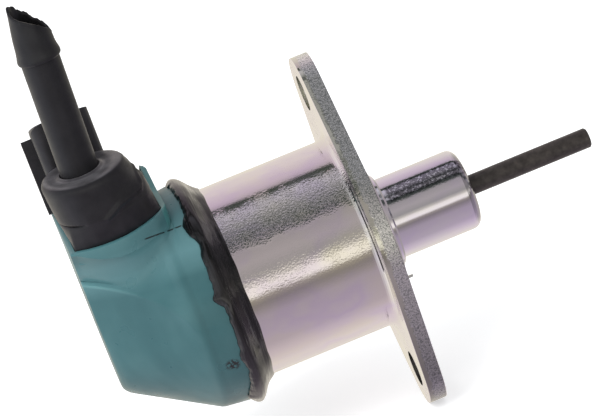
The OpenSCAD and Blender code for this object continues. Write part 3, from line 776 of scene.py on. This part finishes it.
# %% Reach of the boot at every height
boot_x, boot_y = -49.08, -8.4
turns = [math.tau * k / 144 for k in range(144)]
strap_line = [
    (270, 27.8), (287, 29.0), (297, 29.8), (310, 30.1), (335, 30.4), (348, 32.5), (360, 33.5)]
foot_top, shoulder_foot = 23.4, 28.2
slit_at, slit_half = 212, 36
strap_from = 268


def in_well(x, y):
    """Whether a place is inside the collar, a hair away from its wall."""
    return -55.82 < x < -37.97 and -(between(collar_plan, x) - 1.04) < y < 0.6


def well_reach(angle):
    """How far the foot can reach, found by halving."""
    low, high = 0.0, 25.0
    for _ in range(24):
        mid = (low + high) / 2
        if in_well(boot_x + mid * math.cos(angle), boot_y + mid * math.sin(angle)):
            low = mid
        else:
            high = mid
    return low


def shoulder_reach(angle, z):
    """A round shoulder that leans out to the right and in to the left as it goes down."""
    side = math.cos(angle)
    out = between([(27.0, 2.55), (30.9, 2.0), (32.4, 1.15), (35.7, 0.0), (37.0, 0.0)], z)
    draw = between([(27.0, 0.8), (35.0, 0.1), (37.0, 0.0)], z)
    return 8.3 + (out * side ** 2 if side > 0 else -draw * side ** 2)


def swell_at(off, width):
    """1 at the middle of a swell, and soon 0 away from it."""
    return math.exp(-(off / width) ** 2)


def boot_reach(angle, z):
    """Reach of the whole boot: foot, shoulder, slit and strap."""
    if z > shoulder_foot:
        reach = shoulder_reach(angle, z)
    else:
        k = held((z - foot_top) / 4.8)
        reach = well_reach(angle) * (1 - k) + (shoulder_reach(angle, shoulder_foot) - 0.05) * k
    degrees = math.degrees(angle) % 360
    slit = max(0.0, 1 - abs(degrees - slit_at) / slit_half) ** 0.4
    reach -= 0.55 * slit * swell_at(z - 28.25, 0.16)
    if degrees > strap_from:
        off = z - between(strap_line, degrees)
        fade = min((degrees - strap_from) / 12, 1)
        reach += 0.32 * fade * swell_at(off, 0.45)
        reach -= 0.18 * fade * swell_at(off + 1.3, 0.7)
    return reach


print("reach to the front", round(well_reach(-math.pi / 2), 2))

# %% Boot
def ring_at(bm, x, reaches, heights):
    """A ring of points about x, with a reach and a height for each turn."""
    return [bm.verts.new(((x + r * math.cos(t)) * mm, (boot_y + r * math.sin(t)) * mm, z * mm))
            for t, r, z in zip(turns, reaches, heights)]


def level_ring(bm, x, reach, z):
    """A round and level ring of points about x."""
    return ring_at(bm, x, [reach] * len(turns), [z] * len(turns))


bm = bmesh.new()
heights = [20.7, 21.6, 22.5, 23.4, 24.2, 25, 25.8, 26.6, 27.3, 27.9, 28.05, 28.15, 28.25, 28.35,
           28.5] + [28.8 + 0.3 * k for k in range(20)]
lines = [ring_at(bm, boot_x, [boot_reach(t, z) for t in turns], [z] * len(turns)) for z in heights]
for inward, z in ((0.05, 35.1), (0.17, 35.5), (0.42, 35.8), (0.8, 35.95), (1.4, 36.0)):
    reaches = [shoulder_reach(t, 35.4) - inward for t in turns]
    lines.append(ring_at(
        bm, boot_x, reaches, [z + 0.12 * inward * abs(math.cos(t)) for t in turns]))
for reach, z in ((5.9, 36.02), (5.3, 35.98), (4.8, 35.98), (4.5, 36.06), (4.25, 36.24),
                 (4.0, 36.34), (3.84, 36.3), (3.76, 36.1), (3.76, 20.7)):
    lines.append(level_ring(bm, -49.42 if z > 30 else -49.9, reach, z))
for first, second in zip(lines, lines[1:] + lines[:1]):
    join(bm, first, second)
boot = shaped("boot_rubber", bm, "body", "rubber", "rubber_boot")
boot.data.set_sharp_from_angle(angle=math.radians(60))

# %% [markdown]
# The short end sleeve was shrunk on and then cut by hand, so its rim is
# slanted, nicked and thin. A plane cut would be clean. So the rim gets a
# height for each angle, with small nicks added, and the wall is stretched
# up to it.

# %% Rim and wall of the end sleeve
sleeve_foot = 59
rim_height = [
    (0, 63.2), (30, 64.3), (60, 65.9), (72, 66.6), (76, 67.2), (92, 67.5), (104, 68.3),
    (130, 69.5), (150, 70.0), (168, 69.8), (180, 69.3), (200, 68.8), (227, 68.1), (262, 67.2),
    (302, 65.7), (335, 64.2), (360, 63.2)]
profile = [
    (59.0, 3.78), (59.05, 4.05), (59.3, 4.16), (59.9, 4.14), (60.5, 3.98), (61.4, 3.84),
    (63, 3.72), (65.5, 3.4), (69.0, 2.9), (70.5, 2.8)]


def rim_at(t):
    """Height of the rim at an angle, with its nicks."""
    wide = noise.noise(Vector((math.cos(t), math.sin(t), 0.3)) * 2.7)
    fine = noise.noise(Vector((math.cos(t), math.sin(t), 4)) * 7)
    nick = (0.28 * wide + 0.16 * fine) * (1.3 if math.sin(t) > 0 else 0.35)
    return between(rim_height, math.degrees(t) % 360) + nick


def wall_ring(bm, share, inward=0):
    """A ring at a share of the way up to the rim, drawn in from the outside."""
    line = []
    for t in turns:
        z = sleeve_foot + (rim_at(t) - sleeve_foot) * share
        wobble = 1 + 0.02 * noise.noise(Vector((math.cos(t) * 2, math.sin(t) * 2, z / 3)))
        flare = 0.12 * max(0.0, share - 0.9) * 10 * (1 if math.cos(t - 5.6) > 0.2 else 0)
        r = (between(profile, z) - inward) * wobble + flare
        leaning = -49.67 + 0.0314 * (z - 27.4)
        place = (leaning + r * math.cos(t), boot_y + r * math.sin(t), z)
        line.append(bm.verts.new([c * mm for c in place]))
    return line


print("rim from", round(min(map(rim_at, turns)), 2), "to", round(max(map(rim_at, turns)), 2))

# %% End sleeve
bm = bmesh.new()
lines = [wall_ring(bm, share) for share in (
    0, 0.012, 0.04, 0.08, 0.13, 0.18, 0.24, 0.32, 0.4, 0.5, 0.6, 0.7, 0.8, 0.88, 0.94, 0.975)]
lines += [wall_ring(bm, share, inward) for share, inward in (
    (0.995, 0.06), (1, 0.2), (1, 0.38), (0.985, 0.5), (0.9, 0.55), (0.75, 0.55), (0.6, 0.55),
    (0.45, 0.55))]
for x, reach, z in ((-48.6, 3.0, 61.4), (-48.62, 3.72, 61.3), (-48.68, 3.72, 59.05)):
    lines.append(level_ring(bm, x, reach, z))
for first, second in zip(lines, lines[1:] + lines[:1]):
    join(bm, first, second)
tip = shaped("cut_sleeve", bm, "body", "sleeve", "end_sleeve")
tip.data.set_sharp_from_angle(angle=math.radians(60))

# %% [markdown]
# The sealant bead is paste that was wiped round the joint. It has a
# ragged edge on the cap, a straighter one on the can and a swell between
# them. A torus would be too even. So a profile is spun about the axis, and
# then its points are pushed by slow noise that depends on the angle.

# %% Profile of the bead, spun about the axis
bm = bmesh.new()
wiped = [
    (-28.85, 19.07), (-29.5, 19.5), (-30.3, 20.0), (-31.1, 20.9), (-31.9, 22.1), (-32.7, 22.85),
    (-33.5, 23.0), (-34.1, 22.7), (-34.55, 22.3), (-34.7, 21.95), (-33.9, 21.9),
    (-32.95, 21.9), (-32.9, 19.2), (-30.5, 19.02)]
line = [bm.verts.new((x * mm, 0, r * mm)) for x, r in wiped]
ring = ring_edges(bm, line)
bmesh.ops.spin(bm, geom=line + ring, cent=(0, 0, 0), axis=(1, 0, 0), angle=math.tau,
               steps=300, use_merge=True)
bmesh.ops.remove_doubles(bm, verts=bm.verts, dist=1e-7)
print("bead points", len(bm.verts))

# %% Sealant bead
rear_edge = [
    (0, -34.6), (15, -34.4), (24, -34.6), (31, -35.7), (36, -35.3), (43, -34.1), (52, -34.8),
    (61, -34.9), (68, -35.2), (72, -35.9), (77, -34.3), (89, -34.3), (99, -34.5), (106, -34.9),
    (113, -34.2), (126, -34.8), (139, -35.9), (150, -35.0), (180, -34.4), (205, -35.2),
    (225, -34.3), (260, -35.5), (275, -34.5), (300, -35.1), (330, -34.2), (345, -35.0),
    (360, -34.6)]
widest = 22.96 * mm


def shift(way, along):
    """Noise at a direction from the axis, moved on by a distance."""
    return noise.noise(way + Vector((along, 0, 0)))


for v in bm.verts:
    x, r = v.co.x / mm, math.hypot(v.co.y, v.co.z) / mm
    way = Vector((0, v.co.y, v.co.z)).normalized()
    rear = held((-32.9 - x) / 1.8) * (1 if r > 22 or x < -33.5 else 0)
    front = held((x + 31.5) / 2.5)
    round_at = math.degrees(math.atan2(-v.co.y, v.co.z)) % 360
    ragged = between(rear_edge, round_at) + 34.7
    ragged += 0.3 * noise.noise(way * 19) + 0.2 * noise.noise(way * 45)
    v.co.x += (ragged * rear + 0.22 * shift(way * 5, 9) * front) * mm
    if x < -32.8 and r < 21.85:
        continue
    crest = held(r - 19.3) * (1 if x > -34.3 else 0.4)
    swell = 0.4 * shift(way * 2.2, x * 0.5) + 0.2 * shift(way * 6, x * 1.3)
    v.co += way * (swell * crest * mm)
    v.co.y = held(v.co.y, -widest, widest)
bead = shaped("sealant_wipe", bm, "body", "sealant", "sealant_bead")
soft = bead.modifiers.new("soft", "SUBSURF")
soft.levels = soft.render_levels = 1

# %% [markdown]
# The return spring stands between the core and the plunger, inside the
# can. A rigid spring would be run over when the rod is pulled in. Here a
# circle of wire is spun up into a coil the length of the imported spring,
# and the coil gets a mesh of its own.

# %% Return spring
low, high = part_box("return_spring")
wire_r, coils, per_coil = 0.4 * mm, 10, 28
steps = coils * per_coil
climb = (high[0] - low[0] - 2 * wire_r) / steps
start = Matrix.Translation((low[0] + wire_r, 0, high[2] - wire_r))
bm = bmesh.new()
ring = bmesh.ops.create_circle(
    bm, segments=8, radius=wire_r, matrix=start @ Matrix.Rotation(math.pi / 2, 4, "X"))
loop = {e for v in ring["verts"] for e in v.link_edges}
bmesh.ops.spin(bm, geom=ring["verts"] + list(loop), cent=(0, 0, 0), axis=(1, 0, 0),
               dvec=(climb, 0, 0), angle=math.tau * coils, steps=steps)
bmesh.ops.holes_fill(bm, edges=[e for e in bm.edges if e.is_boundary])
coil = shaped("return_coil", bm, "body", "spring_steel", "return_spring")
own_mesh(coil)
